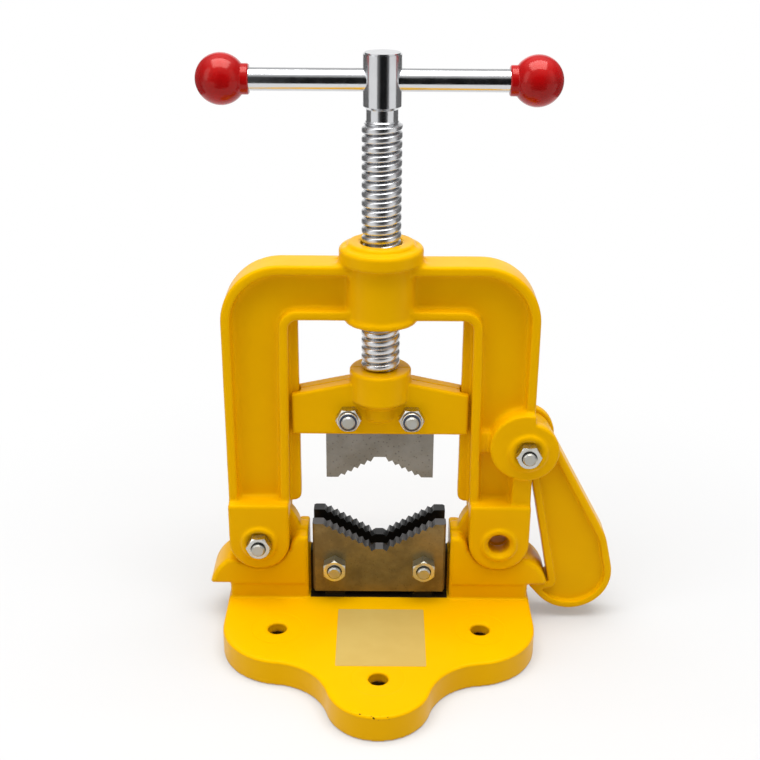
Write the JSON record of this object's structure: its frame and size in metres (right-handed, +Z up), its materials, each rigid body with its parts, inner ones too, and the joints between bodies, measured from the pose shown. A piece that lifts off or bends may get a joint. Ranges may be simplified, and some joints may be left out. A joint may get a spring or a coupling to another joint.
{
  "type": "hinged pipe vise",
  "caption": "Bench pipe vise with a cast foot, a hinged yoke held by a swinging latch, a screw with sliding T-bar, and toothed V jaws.",
  "frame": {"origin": "on the underside of the foot, straight below the screw, in the middle of the cross rib", "axes": "+X to the latch side, +Y to the back, +Z up along the screw; the foot's long lobe points along -Y"},
  "size_m": [0.2462, 0.1492, 0.3428],
  "materials": {
    "painted_casting": "gloss",
    "dark_jaw_steel": "matte",
    "grey_jaw_steel": "matte",
    "bright_steel": "polished",
    "zinc_steel": "satin",
    "red_knob": "gloss"
  },
  "bodies": {
    "base": {"base_foot": "painted_casting", "base_upright": "painted_casting", "lower_jaw_front": "dark_jaw_steel", "lower_jaw_rear": "dark_jaw_steel", "lower_jaw_bolt_left": "zinc_steel", "lower_jaw_bolt_right": "zinc_steel", "lower_jaw_nut_left": "zinc_steel", "lower_jaw_nut_right": "zinc_steel"},
    "yoke": {"yoke_casting": "painted_casting", "pivot_bolt": "zinc_steel", "pivot_nut": "zinc_steel", "latch_bolt": "zinc_steel", "latch_nut": "zinc_steel"},
    "latch": {"latch": "painted_casting"},
    "pusher": {"pusher_front_half": "painted_casting", "pusher_rear_half": "painted_casting", "upper_jaw": "grey_jaw_steel", "pusher_bolt_left": "zinc_steel", "pusher_bolt_right": "zinc_steel", "pusher_nut_left": "zinc_steel", "pusher_nut_right": "zinc_steel"},
    "spindle": {"spindle": "bright_steel"},
    "handle": {"handle_bar": "bright_steel", "handle_ball_left": "red_knob", "handle_ball_right": "red_knob"}
  },
  "joints": [
    {"name": "yoke_swing", "type": "hinge", "parent": "base", "child": "yoke", "pos_m": [-0.072, 0, 0.057], "axis": [0, -1, 0], "range_deg": [0, 70]},
    {"name": "latch_swing", "type": "hinge", "parent": "yoke", "child": "latch", "pos_m": [0.0862, 0, 0.1185], "axis": [0, -1, 0], "range_deg": [0, 75]},
    {"name": "pusher_slide", "type": "slide", "parent": "yoke", "child": "pusher", "axis": [0, 0, 1], "range_m": [-0.045, 0.025]},
    {"name": "spindle_turn", "type": "hinge", "parent": "pusher", "child": "spindle", "pos_m": [0, 0, 0.1655], "axis": [0, 0, 1], "range_deg": [-3240, 1800]},
    {"name": "bar_slide", "type": "slide", "parent": "spindle", "child": "handle", "axis": [1, 0, 0], "range_m": [-0.0545, 0.0575]}
  ],
  "couplings": [
    {"joint": "pusher_slide", "follows": "spindle_turn", "m_per_rad": 0.00079577}
  ]
}
